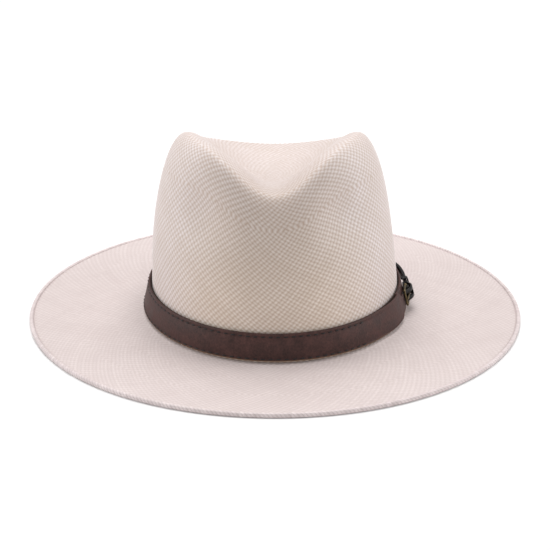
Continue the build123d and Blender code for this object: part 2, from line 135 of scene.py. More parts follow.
def ridge_height(t):
    x, y = RIDGE_A * np.cos(t), RIDGE_Y + RIDGE_B * np.sin(t)
    over = RIDGE_MID - RIDGE_FALL * y - RIDGE_TOP
    h = RIDGE_TOP + (over - np.hypot(over, RIDGE_SOFT) + 0.6 * RIDGE_SOFT) / 2
    front, back = smooth((-y - DIP_FROM) / DIP_RUN), smooth((y - DIP_FROM) / DIP_RUN)
    notch = np.cos(np.clip(pi * (x - LIP_X) / (2 * LIP_HALF), -pi / 2, pi / 2)) ** 2
    return h - (front * LIP_DROP + back * BACK_DIP) * notch


def outward(t):
    n = xyz(np.cos(t) / BASE_A, np.sin(t) / BASE_B, 0 * t)
    return unit(n)


def wall(t, phi):
    """Outside of the crown, from its base (phi 0) to its crest (phi a quarter turn)."""
    z = BASE_Z + (ridge_height(t) - BASE_Z) * np.sin(phi)
    inward = FLARE_IN * (1 - np.exp(-(z - BASE_Z) / FLARE_RISE))
    inward = inward + (1 - FLARE_IN) * (1 - np.cos(phi))
    x = BASE_A * np.cos(t) * (1 - inward) + RIDGE_A * np.cos(t) * inward
    y = BASE_B * np.sin(t) * (1 - inward) + (RIDGE_Y + RIDGE_B * np.sin(t)) * inward
    from_front = np.abs((t + 1.5 * pi) % TURN - pi)
    across, up = (from_front - PINCH_AT) / PINCH_SPREAD, (z - PINCH_Z) / PINCH_RISE
    pinch = PINCH_DEPTH * np.exp(-across ** 2 - up ** 2)
    lean = LEAN_X * smooth((z - BASE_Z) / LEAN_RISE)
    return xyz(x + lean, y, z) - pinch[..., None] * outward(t)


def dent(t, k):
    """Top of the crown, from the crest (k 0) towards the middle of the dent (k 1)."""
    crest = wall(t, pi / 2)
    x = LEAN_X + (crest[..., 0] - LEAN_X) * (1 - k)
    y = RIDGE_Y + (crest[..., 1] - RIDGE_Y) * (1 - k)
    floor = FLOOR_Z - FLOOR_FALL * y
    return xyz(x, y, crest[..., 2] + (floor - crest[..., 2]) * smooth(k / DENT_SPAN))


def brim(t, r):
    """Top of the brim, from the crown's base (r 0) to the edge (r 1)."""
    x = (BASE_A + (EDGE_A - BASE_A) * r) * np.cos(t)
    y = (BASE_B + (EDGE_B - BASE_B) * r) * np.sin(t)
    rise = (BASE_Z - BRIM_TOP_IN) * np.exp(-r / BREAK_RUN)
    return xyz(x, y, BRIM_TOP_IN - BRIM_DROP * r ** BRIM_CURVE + rise)


def skin(t, v):
    """The whole outer surface: v 0 to 1 is the brim, 1 to 2 the wall, 2 to 3 the dent."""
    if v < 1:
        return brim(t, 1 - v)
    if v < 2:
        return wall(t, (v - 1) * pi / 2)
    return dent(t, v - 2)


def skin_and_normal(t, v):
    dt, dv = 0.002, 0.004
    around = skin(t + dt, v) - skin(t - dt, v)
    along = skin(t, min(v + dv, 2 + DENT_END)) - skin(t, max(v - dv, 0))
    return skin(t, v), unit(np.cross(around, along))


def wall_point(t, z, off):
    """A point at height z, a distance off outside the crown's wall."""
    rise = np.clip((z - BASE_Z) / (ridge_height(t) - BASE_Z), 0, 1)
    point = wall(t, np.arcsin(rise)) + np.asarray(off)[..., None] * outward(t)
    return xyz(point[..., 0], point[..., 1], z)


def band_point(t, z, off):
    """Like wall_point, but on the straight slope of the stiff leather band."""
    low, high = wall_point(t, BAND_LOW, off), wall_point(t, BAND_HIGH, off)
    share = (z - BAND_LOW) / (BAND_HIGH - BAND_LOW)
    return low + (high - low) * np.asarray(share)[..., None]


def band_side(t):
    """Level direction along the band, over twice STEP_T."""
    ahead, behind = t + STEP_T, t - STEP_T
    return band_point(ahead, BAND_MID_Z, STRAP_OUT) - band_point(behind, BAND_MID_Z, STRAP_OUT)


def band_rise(t):
    """Direction straight up the band's slope."""
    return band_point(t, BAND_HIGH, STRAP_OUT) - band_point(t, BAND_LOW, STRAP_OUT)


STEP_T = 0.01
HEEL_T = asin(HEEL_Y / BASE_B)
# Length of the band at its buckle for one radian of t.
ARC = float(np.linalg.norm(band_side(np.array(HEEL_T)))) / (2 * STEP_T)


def lay(s, n, z):
    """A point s along the band from the heel bar and n proud of the strap's face."""
    t = HEEL_T + np.asarray(s) / ARC
    out = unit(np.cross(band_side(t), band_rise(t)))
    return band_point(t, z, STRAP_OUT) + out * np.asarray(n)[..., None]


# ---------------------------------------------------------------- mesh making
def loose_mesh(name, points, faces):
    """A mesh object in the scene, from points in mm."""
    mesh = bpy.data.meshes.new(name)
    mesh.from_pydata((np.asarray(points) * MM).tolist(), [], faces)
    shape = bpy.data.objects.new(name, mesh)
    bpy.context.scene.collection.objects.link(shape)
    return shape


def stand_for(piece, body, node):
    """Puts a piece on a body in place of a node, and hides the node."""
    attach(piece, body)
    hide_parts(node)


def dress(mesh, material):
    """Smooth shading and one material."""
    mesh.polygons.foreach_set("use_smooth", [True] * len(mesh.polygons))
    mesh.materials.append(material)


def add_piece(name, points, faces, material, body, node, **attributes):
    """A mesh piece from points in mm, with any values it needs at its points."""
    piece = loose_mesh(name, points, faces)
    piece.data.validate()
    for title, values in attributes.items():
        layer = piece.data.attributes.new(title, "FLOAT", "POINT")
        layer.data.foreach_set("value", np.asarray(values, dtype=np.float32))
    dress(piece.data, material)
    stand_for(piece, body, node)
    return piece


def apply_modifiers(piece):
    seen = piece.evaluated_get(bpy.context.evaluated_depsgraph_get())
    piece.data = bpy.data.meshes.new_from_object(seen)
    piece.modifiers.clear()


def band_faces(first, second, count):
    """Quads between two closed rings of the same count, given their first indices."""
    return [(first + k, first + (k + 1) % count, second + (k + 1) % count, second + k)
            for k in range(count)]


def tube_faces(first, rings, count):
    """Faces of a closed tube: the bands between its rings of count points, and two ends."""
    faces = []
    for j in range(1, rings):
        faces += band_faces(first + j * count, first + (j - 1) * count, count)
    last = first + (rings - 1) * count
    return faces + [tuple(first + k for k in range(count)),
                    tuple(last + k for k in reversed(range(count)))]


def flipped(faces):
    return [face[::-1] for face in faces]


def stitches(count, ring):
    """Separate stitches, from ring(i, a, turn): a ring of stitch i, at a from -1 to 1 along it."""
    along, around = 7, 6
    turn = TURN * np.arange(around) / around
    points, faces = [], []
    for i in range(count):
        points += [ring(i, 2 * j / (along - 1) - 1, turn) for j in range(along)]
        faces += tube_faces(i * along * around, along, around)
    return np.concatenate(points), faces


# ---------------------------------------------------------------- woven straw
def row_places(v_from, v_to):
    """Values of v one row apart, measured along the hat's surface."""
    t = np.linspace(0, TURN, 16, endpoint=False)
    fine = np.linspace(v_from, v_to, 1200)
    line = np.array([skin(t, v) for v in fine])
    run = np.linalg.norm(np.diff(line, axis=0), axis=-1).mean(axis=1)
    travelled = np.concatenate([[0], np.cumsum(run)])
    rows = round(travelled[-1] / ROW)
    return np.interp(np.linspace(0, travelled[-1], rows + 1), travelled, fine)


def ring_length(v):
    ring = skin(np.linspace(0, TURN, 181), v)
    return np.linalg.norm(np.diff(ring, axis=0), axis=-1).sum()


def zones(places):
    """Splits rows into zones, each with its own count of crossings around."""
    ideal = [max(6.0, ring_length(v) / COLUMN) for v in places]
    starts = [0]
    for row, count in enumerate(ideal):
        grown = abs(count / ideal[starts[-1]] - 1)
        if grown > ZONE_CHANGE and ZONE_ROWS <= row - starts[-1] and row < len(places) - 2:
            starts.append(row)
    ends = starts[1:] + [len(places)]
    return [(first, places[first:last], round(ideal[(first + last) // 2]))
            for first, last in zip(starts, ends)]


class Weave:
    """One side of a woven surface: crossings, the gaps between them and the strand edges."""

    def __init__(self, depth, relief, facing, rng):
        self.depth, self.relief, self.facing, self.rng = depth, relief, facing, rng
        self.points, self.heights, self.tints, self.faces = [], [], [], []
        self.total = 0           # points so far
        self.turned = -pi / 2    # how far round the next row starts
        self.start = None        # the first ring: its first point and count
        self.edges = []          # the same for the last ring of each zone

    def put(self, points, normals, heights, tints):
        """Adds points at their strands' heights, and gives the index of the first."""
        first = self.total
        lifted = points + normals * (heights * self.relief * self.facing - self.depth)[..., None]
        self.points.append(lifted.reshape(-1, 3))
        self.heights.append(heights.reshape(-1))
        self.tints.append(tints.reshape(-1))
        self.total += heights.size
        return first

    def face(self, *corners):
        self.faces.append(corners if self.facing > 0 else corners[::-1])

    def zone(self, first_row, rows, count):
        """A stretch of plain weave, seen on the slant: rows lean one way and then the other."""
        across = 2 * count
        k = np.arange(across)
        base, normal = [], []
        for v in rows:
            p, n = skin_and_normal(TURN * k / across + self.turned, v)
            self.turned += SLANT * ROW / (COLUMN / 2) * TURN / across
            base.append(p)
            normal.append(n)
        base, normal = np.array(base), np.array(normal)
        j = first_row + np.arange(len(rows))[:, None]
        over = (k[None, :] + j) % 2 == 0
        leaning = [self.rng.normal(0, 1, across), self.rng.normal(0, 1, across)]
        tint = np.where(j % 2 == 0, leaning[0][(k[None, :] + j) % across],
                        leaning[1][(k[None, :] - j) % across])
        tint = np.where(over, tint, 0.0)
        calm = 1 - DENT_CALM * smooth((np.array(rows)[:, None] - CALM_FROM) / CALM_RUN)
        top, bottom = np.full((len(rows), 1), OVER), np.full((len(rows), 1), UNDER)
        top[[0, -1]], bottom[[0, -1]] = EDGE_OVER, EDGE_UNDER
        top, bottom = top * calm, bottom * calm
        first = self.put(base, normal, np.where(over, top, bottom), tint)
        if len(rows) > 1:
            self.strand_edges(first, base, normal, tint, over)
        self.join_zone(first, across)
        self.edges.append((first + (len(rows) - 1) * across, across))

    def strand_edges(self, first, base, normal, tint, over):
        """Points between neighbouring crossings, drawn towards the strand that dives."""
        rows, across = base.shape[:2]
        next_base, next_tint = np.roll(base, -1, axis=1), np.roll(tint, -1, axis=1)
        here = over[:-1, :, None]
        lower = np.where(here, base[:-1], next_base[:-1])
        upper = np.where(here, next_base[1:], base[1:])
        low_tint = np.where(over[:-1], tint[:-1], next_tint[:-1])
        up_tint = np.where(over[:-1], next_tint[1:], tint[1:])
        k = np.arange(across)[None, :, None]
        share = np.where(k % 2 == 0, DIVE_SHARE, 1 - DIVE_SHARE)
        middle = lower * share + upper * (1 - share)
        heights = np.full(middle.shape[:2], GROOVE)
        facing = unit(normal[:-1] + normal[1:])
        centre = self.put(middle, facing, heights, (low_tint + up_tint) / 2)
        for j in range(rows - 1):
            for i in range(across):
                a, b = first + j * across + i, first + j * across + (i + 1) % across
                corners = (a, b, b + across, a + across)
                for p, q in zip(corners, corners[1:] + corners[:1]):
                    self.face(p, q, centre + j * across + i)

    def join_zone(self, first, across):
        """Closes the ring where strands are added, between two zones of different counts."""
        if not self.edges:
            self.start = (first, across)
            return
        low, low_count = self.edges[-1]
        i = j = 0
        while i < low_count or j < across:
            if j >= across or (i < low_count and (i + 0.5) * across <= (j + 0.5) * low_count):
                self.face(low + i % low_count, low + (i + 1) % low_count, first + j % across)
                i += 1
            else:
                self.face(low + i % low_count, first + (j + 1) % across, first + j % across)
                j += 1

    def close(self, v):
        """A small flat button where the strands start, in the middle of the crown."""
        last, across = self.edges[-1]
        middle = np.array([[LEAN_X, RIDGE_Y, skin(np.array([0.0]), v)[0][2]]])
        tip = self.put(middle, np.array([[0.0, 0.0, 1.0]]), np.zeros(1), np.zeros(1))
        for i in range(across):
            self.face(last + i, last + (i + 1) % across, tip)


def woven_piece(name, v_from, v_to, top_relief, material, closed_top, seed):
    """A closed shell of woven straw with both its sides."""
    rng = np.random.default_rng(seed)
    places = row_places(v_from, v_to)
    sides = []
    for depth, relief, facing in ((SKIN_SINK, top_relief, 1), (UNDER_SINK, UNDER_RELIEF, -1)):
        side = Weave(depth, relief, facing, rng)
        for first, rows, count in zones(places):
            side.zone(first, rows, count)
        if closed_top:
            side.close(v_to)
        sides.append(side)
    out, under = sides
    shift = out.total
    faces = out.faces + [tuple(i + shift for i in face) for face in under.faces]
    rims = [(out.start, under.start)]
    if not closed_top:
        rims.append((out.edges[-1], under.edges[-1]))
    for n, ((a, across), (b, _)) in enumerate(rims):
        rim_faces = band_faces(b + shift, a, across)
        faces += rim_faces if n == 0 else flipped(rim_faces)
    add_piece(name, np.concatenate(out.points + under.points), faces, material,
              "hat", "straw_body",
              weave_height=np.concatenate(out.heights + under.heights),
              strand_tint=np.concatenate(out.tints + under.tints))


# ---------------------------------------------------------------- the plaited edge
def edge_plait(material):
    """The back-woven edge: strands turned over the rim on the slant, side by side."""
    strands, per_strand, around, slant = 400, 4, 14, 1.5
    shallowest, deepest, tone_spread = 0.05, 0.12, 1.3
    steps = strands * per_strand
    t = TURN * np.arange(steps)[:, None] / steps
    turn = TURN * np.arange(around)[None, :] / around
    ridge = np.abs(np.cos(strands * t / 2 + slant * turn))
    flat, tall = squared(np.cos(turn), 0.7), squared(np.sin(turn), 0.8)
    rng = np.random.default_rng(SEED + 2)
    uneven = np.repeat(rng.uniform(shallowest, deepest, strands), per_strand)[:, None]
    swell = 1 - uneven * (1 - ridge)
    half_high = BRAID_HIGH / 2
    out = BRAID_OUT - BRAID_HALF + BRAID_HALF * flat * swell
    z = half_high + half_high * tall * swell
    points = xyz((EDGE_A + out) * np.cos(t), (EDGE_B + out) * np.sin(t), z)
    faces = []
    for i in range(steps):
        here, ahead = i * around, (i + 1) % steps * around
        for j in range(around):
            after = (j + 1) % around
            faces.append((here + j, ahead + j, ahead + after, here + after))
    tone = rng.normal(0, tone_spread, strands)
    tint = np.repeat(np.repeat(tone, per_strand)[:, None], around, axis=1)
    add_piece("edge_plait", points.reshape(-1, 3), faces, material, "hat", "brim_edge_braid",
              weave_height=(2 * ridge - 1).reshape(-1), strand_tint=tint.reshape(-1))


# ---------------------------------------------------------------- the leather band
def rounded(path, parts):
    """The same path with smooth (Catmull-Rom) steps between its points."""
    points = np.array([path[0]] + path + [path[-1]])
    out = []
    for p, q, r, w in zip(points, points[1:], points[2:], points[3:]):
        for u in np.arange(parts) / parts:
            out.append(0.5 * (2 * q + (r - p) * u + (2 * p - 5 * q + 4 * r - w) * u ** 2
                              + (3 * q - p - 3 * r + w) * u ** 3))
    return [tuple(point) for point in out] + [path[-1]]


def round_path():
    """Steps (s, n of the underside, half height) of the band from its start to the buckle."""
    half = (BAND_HIGH - BAND_LOW) / 2
    lap, turn, steps = -LEATHER, TURN * ARC, 360
    ramp = turn - RAMP_BEFORE
    path = [(BAND_START + (ramp - BAND_START) * i / steps, lap, half) for i in range(steps + 1)]
    path += [(ramp + RAMP_LONG * a, lap + (LAYER - lap) * float(smooth(a)), half)
             for a in np.linspace(0, 1, 13)[1:]]
    taper = [(-31.0, half), (-27.0, half), (-24.0, 7.4), (-21.0, 5.4), (-18.5, 4.1),
             (-16.5, TONGUE_HALF), (-12.6, TONGUE_HALF)]
    return path + rounded([(turn + s, LAYER, half) for s, half in taper], 3)


def spring(s):
    """How far the loose end springs away from the band, s past the heel bar."""
    along = min(1.0, max(0.0, (s - SPRING_FROM) / (SPRING_TO - SPRING_FROM)))
    return SPRING * sin(pi * along) ** 2


def tip_rise(s):
    """How far the loose end wanders up, s past the heel bar."""
    return TIP_RISE * float(smooth((s - RISE_FROM) / RISE_LONG))


def end_pad(s):
    """How much thicker the loose end is than the band, s past the heel bar."""
    return END_PAD * float(smooth((s - PAD_FROM) / PAD_GROWS) * smooth((PAD_TO - s) / PAD_FADES))


def billet_path():
    """Steps of the narrow end: over the buckle's heel bar, back onto the band and to its tip."""
    hump = [(-12.55, LAYER), (-10.3, LAYER), (-9.0, 0.35), (-7.6, 0.95), (-6.3, 1.85),
            (-5.0, 2.85), (-3.8, 3.75), (-2.6, 4.42), (-1.3, 4.85), (0.0, 5.1), (1.4, 5.2),
            (2.8, 5.1), (4.2, 4.75), (5.6, 4.1), (7.0, 3.35), (8.6, 2.8), (11.0, 2.55),
            (14.0, 2.4), (17.0, 2.3), (20.0, 2.2), (24.0, 2.0), (28.0, 1.7), (32.0, 1.35),
            (36.0, 1.0), (40.0, 0.65), (44.0, 0.35), (46.5, 0.2)]
    tip = [(48.2, 3.4), (49.6, 2.7), (50.6, 1.8), (51.2, 0.8)]
    path = [(s, n, TONGUE_HALF) for s, n in hump] + [(s, LAYER, h) for s, h in tip]
    return rounded([(TURN * ARC + s, n + spring(s) - end_pad(s), half) for s, n, half in path], 4)


def strap_profile(half):
    """Rounded edges and a shallow stitch groove near each edge: (height, part of thickness)."""
    bottom = 1 - GROOVE_DEEP * float(smooth((half - 7) / 1.2))
    edge = [(0.0, 0.35), (0.10, 0.75), (0.38, 1.0)]
    upper = edge + [(1.55, 1.0), (UPPER_ROW, bottom), (2.65, 1.0)]
    lower = edge + [(0.9, 1.0), (LOWER_ROW, bottom), (1.8, 1.0)]
    scale = min(1.0, half / TONGUE_HALF)
    outline = [(-half + d * scale, w) for d, w in lower]
    outline += [(half - d * scale, w) for d, w in reversed(upper)]
    return outline + [(half - 0.2 * scale, 0.02), (0.0, 0.0), (-half + 0.2 * scale, 0.02)]


def lofted(path, profile, thick):
    """Points of the rings along a strip's path, and the faces that close it."""
    points = []
    for i, (s, n, half) in enumerate(path):
        before, after = path[max(i - 1, 0)], path[min(i + 1, len(path) - 1)]
        slope = (after[1] - before[1]) / (after[0] - before[0])
        deep = (thick + end_pad(s - TURN * ARC)) * hypot(1, slope)
        ring = profile(half)
        middle = BAND_MID_Z + tip_rise(s - TURN * ARC)
        heights = np.array([middle + up for up, _ in ring])
        proud = np.array([n + deep * w for _, w in ring])
        points.append(lay(np.full(len(ring), s), proud, heights))
    return np.concatenate(points), tube_faces(0, len(path), len(points[0]))


def cut_with(piece, cutters):
    """Cuts closed meshes out of a piece for good."""
    for cutter in cutters:
        step = piece.modifiers.new("cut", "BOOLEAN")
        step.operation, step.solver, step.object = "DIFFERENCE", "EXACT", cutter
    apply_modifiers(piece)
    for cutter in cutters:
        bpy.data.objects.remove(cutter)


def prong_slot():
    """The opening through the strap that the buckle's prong stands in, lower at its front."""
    below, above, front_drop = 2.0, 7.5, 2.0
    corners = ((SLOT_FRONT, -1), (SLOT_BACK, -1), (SLOT_BACK, 1), (SLOT_FRONT, 1))
    points = [lay(s, n if s > 0 else n - front_drop, BAND_MID_Z + z * SLOT_WIDE / 2)
              for n in (below, above) for s, z in corners]
    return loose_mesh("slot", points, [(3, 2, 1, 0), (4, 5, 6, 7)] + band_faces(0, 4, 4))


def punched_hole(s):
    around, below, above = 20, 0.1, 7.5
    turn = TURN * np.arange(around) / around
    height = BAND_MID_Z + tip_rise(s) + HOLE_RADIUS * np.sin(turn)
    rings = [lay(s + HOLE_RADIUS * np.cos(turn), np.full(around, n), height)
             for n in (below, above)]
    return loose_mesh("hole", np.concatenate(rings), flipped(tube_faces(0, 2, around)))


def strap(material, shaded_end_material):
    """The wide band, and its narrow end in painted shade, with the prong's slot and two punched
    holes.
    """
    points, faces = lofted(round_path(), strap_profile, LEATHER)
    add_piece("band_strap", points, faces, material, "hatband", "hatband_strap")
    points, faces = lofted(billet_path(), strap_profile, LEATHER)
    billet = add_piece("band_billet", points, faces, shaded_end_material, "hatband", "hatband_strap")
    cut_with(billet, [prong_slot()] + [punched_hole(s) for s in HOLES_AT])


def stitch_row(node, z, material):
    """Slightly slanted stitches that each dip into the leather at both ends."""
    taper, sunk, dip, slant = 0.75, -0.02, 0.30, 0.08

    def ring(i, a, turn):
        fat = STITCH_THICK * (1 - taper * a ** 6)
        n = sunk - dip * a ** 4 + fat * np.cos(turn)
        s = np.full(len(turn), STITCH_FIRST + i * STITCH_PITCH + a * STITCH_LONG / 2)
        return lay(s, n, z + slant * a + fat * np.sin(turn))

    count = int((TURN * ARC - STITCH_LAST - STITCH_FIRST) / STITCH_PITCH)
    points, faces = stitches(count, ring)
    add_piece(node + "_stitches", points, faces, material, "hatband", node)


def keeper_loop(material):
    """A strip of leather bent up over the loose end, with rounded edges."""
    out = KEEPER_THICK / 2
    side = TONGUE_HALF + KEEPER_SPARE + out
    top = KEEPER_TOP + spring(KEEPER_AT) + out
    bends = [(KEEPER_CORNER * cos(a), KEEPER_CORNER * sin(a)) for a in np.linspace(0, pi / 2, 6)]
    right = [(side, n) for n in np.linspace(LAYER, top - KEEPER_CORNER, 6)[:-1]]
    right += [(side - KEEPER_CORNER + z, top - KEEPER_CORNER + n) for z, n in bends]
    line = np.array(right + [(-z, n) for z, n in reversed(right)])
    along = np.gradient(line, axis=0)
    square = unit(np.stack([-along[:, 1], along[:, 0]], axis=-1)) * -1
    half = KEEPER_LONG / 2
    near = half - 0.3
    section = [(-half, -0.4), (-half, 0.3), (-near, 1.0), (-0.8, 0.8), (0.8, 0.8),
               (near, 1.0), (half, 0.3), (half, -0.4), (near, -1.0), (-near, -1.0)]
    points = []
    for (z, n), (dz, dn) in zip(line, square):
        for s, thick in section:
            up = BAND_MID_Z + z + dz * out * thick
            points.append(lay(KEEPER_AT + s, n + dn * out * thick, up))
    faces = tube_faces(0, len(line), len(section))
    add_piece("keeper", points, faces, material, "hatband", "keeper_loop")


# ---------------------------------------------------------------- bands round the hat
def hoop(name, place, outline, material, body, node, wave=0.0):
    """A closed band round the hat from an outline of (height, offset), gently uneven."""
    around, ripples = 420, ((9, 1.0), (17, 0.0), (31, 2.0))
    t = TURN * np.arange(around) / around
    uneven = wave * sum(np.sin(n * t + shift) for n, shift in ripples) / len(ripples)
    rings = [place(t, z, off + uneven) for z, off in outline]
    count, points, faces = len(outline), np.stack(rings, axis=1), []
    for i in range(around):
        faces += band_faces(i * count, (i + 1) % around * count, count)
    add_piece(name, points.reshape(-1, 3), faces, material, body, node)


def rounded_outline(low, high, inner, outer, creases=()):
    """A strip's section, with round edges and pressed lines on its inner side."""
    thick, edge, crease_half, crease_deep, bevel = outer - inner, 0.45, 0.5, 0.3, 0.4
    heights = [low + edge, *np.linspace(low, high, 14)[1:-1], high - edge]
    face = [(z, outer) for z in heights]
    back = [(z, inner) for z in reversed(heights)]
    for crease in creases:
        back += [(crease + crease_half, inner), (crease, inner + crease_deep * thick),
                 (crease - crease_half, inner)]
    back.sort(key=lambda point: -point[0])
    near_out, near_in = outer - bevel * thick, inner + bevel * thick
    return [(low, near_out)] + face + [(high, near_out), (high, near_in)] + back + [(low, near_in)]


def sweatband(leather, thread):
    """The leather band inside the crown, and the stitches that hold it to the straw."""
    crease = SWEAT_HIGH - SWEAT_CREASE
    outline = rounded_outline(SWEAT_LOW, SWEAT_HIGH, SWEAT_IN, SWEAT_OUT, (crease,))
    hoop("sweatband_leather", wall_point, outline, leather, "hat", "sweatband", wave=SWEAT_WAVE)
    taper, proud, dip = 0.7, 0.14, 0.2

    def ring(i, a, turn):
        fat = SEAM_THICK * (1 - taper * a ** 6)
        t = TURN * (i + 0.5 + a * SEAM_LONG / (2 * SEAM_PITCH)) / SEAM_COUNT
        off = SWEAT_IN - proud + dip * a ** 4 + fat * np.cos(turn)
        z = SWEAT_SEAM + fat * np.sin(turn)
        return np.array([wall_point(np.array(t), up, o) for up, o in zip(z, off)])

    points, faces = stitches(SEAM_COUNT, ring)
    add_piece("sweatband_stitches", points, faces, thread, "hat", "sweatband_stitching")


def seam_tape(material):
    """The tape over the sweatband's joint: a thin ribbed strip that lies a little uneven."""
    across, up, thin_edge, inset = 15, 26, 0.8, 0.15
    x = np.linspace(-1, 1, across)
    section = [(a, -1 + thin_edge * abs(a) ** 8) for a in x]
    section += [(a, 1 - thin_edge * abs(a) ** 8) for a in x[::-1]]
    points = []
    for i, z in enumerate(np.linspace(TAB_LOW, TAB_HIGH, up)):
        for a, side in section:
            t = pi / 2 - a * (TAB_HALF - inset) / BASE_A
            uneven = TAB_WAVE * np.sin(2.2 * i + 3 * a)
            off = (TAB_OUT + TAB_IN) / 2 + side * TAB_THICK / 2 + uneven
            points.append(wall_point(np.array(t), z, off))
    faces = tube_faces(0, up, len(section))
    add_piece("seam_tape", points, faces, material, "hat", "sweatband_seam_tab")


def bow_point(x, y, n):
    """A point in the bow's own frame: x along the band, y up it and n out of it."""
    middle, reach, sunk = np.array(pi / 2), 5, 0.25
    above, below = (wall_point(middle, BOW_Z + z, TAB_IN) for z in (reach, -reach))
    up = unit(above - below)
    out = np.cross([1.0, 0.0, 0.0], up)
    return wall_point(middle, BOW_Z, TAB_IN - sunk) + x * np.array([1.0, 0, 0]) + y * up + n * out


def bow_ring(side, u, across):
    """One ring round the ribbon, at u from 0 to 1 along the loop on one side of the knot."""
    start, over_reach, low, middle, lift, splay = 1.0, 0.4, 0.9, 0.46, 0.40, 0.13
    thin_edge, cupped, turned = 0.7, 0.25, 0.6
    swell, outbound, rising = sin(pi * u), u < 0.5, cos(TURN * u) > 0
    far = start + (BOW_LONG + over_reach) * swell ** 0.85
    high = low + BOW_TALL * (middle + lift * sin(TURN * u)) + splay * far
    half = BOW_HALF * (0.5 + 0.5 * float(smooth(1.5 * swell)))
    ring = []
    for k in range(2 * across):
        row = k if k < across else 2 * across - 1 - k
        a = 2 * row / (across - 1) - 1
        thin = (1 if k < across else -1) * BOW_THICK / 2 * (1 - thin_edge * abs(a) ** 6)
        cup = cupped * a * a * (1 if rising else -1) * (1 - swell)
        reach = far + thin * (-1 if outbound else 1) * swell ** 3 * turned
        out = high + thin * (1 - turned * swell ** 3) + cup
        ring.append(bow_point(side * reach, a * half, out))
    return ring


def ribbon_bow(material):
    """Two loops of ribbon drawn in at a wrapped knot."""
    steps, across = 40, 9
    points, faces = [], []
    for side in (-1, 1):
        loop = tube_faces(len(points), steps + 1, 2 * across)
        faces += loop if side > 0 else flipped(loop)
        for i in range(steps + 1):
            points += bow_ring(side, i / steps, across)
    add_piece("ribbon_bow", points, faces, material, "hat", "sweatband_bow")

    around, rings, folds, fold_depth = 24, 13, 6, 0.05
    points = []
    for i in range(rings):
        a = -pi / 2 + pi * i / (rings - 1)
        for k in range(around):
            b = TURN * k / around
            fold = 1 + fold_depth * cos(folds * b)
            wide, deep = squared(cos(b), 0.7), squared(sin(b), 0.7)
            end = max(cos(a), 0.02) ** 0.4
            points.append(bow_point(KNOT_HALF * wide * end * fold,
                                    KNOT_TALL * squared(sin(a), 0.8),
                                    KNOT_OUT + KNOT_DEEP * deep * end * fold))
    faces = flipped(tube_faces(0, rings, around))
    add_piece("ribbon_knot", points, faces, material, "hat", "sweatband_bow_knot")


def softened(name, node, voxel, passes, material, body):
    """A small part remeshed from its drawn solid, with its edges worn round."""
    piece = bpy.data.objects.new(name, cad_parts[node].data.copy())
    piece.data.materials.clear()
    bpy.context.scene.collection.objects.link(piece)
    remesh = piece.modifiers.new("even", "REMESH")
    remesh.mode, remesh.voxel_size = "VOXEL", voxel * MM
    soften = piece.modifiers.new("soften", "SMOOTH")
    soften.factor, soften.iterations = 0.5, passes
    apply_modifiers(piece)
    piece.data.materials.clear()
    dress(piece.data, material)
    stand_for(piece, body, node)


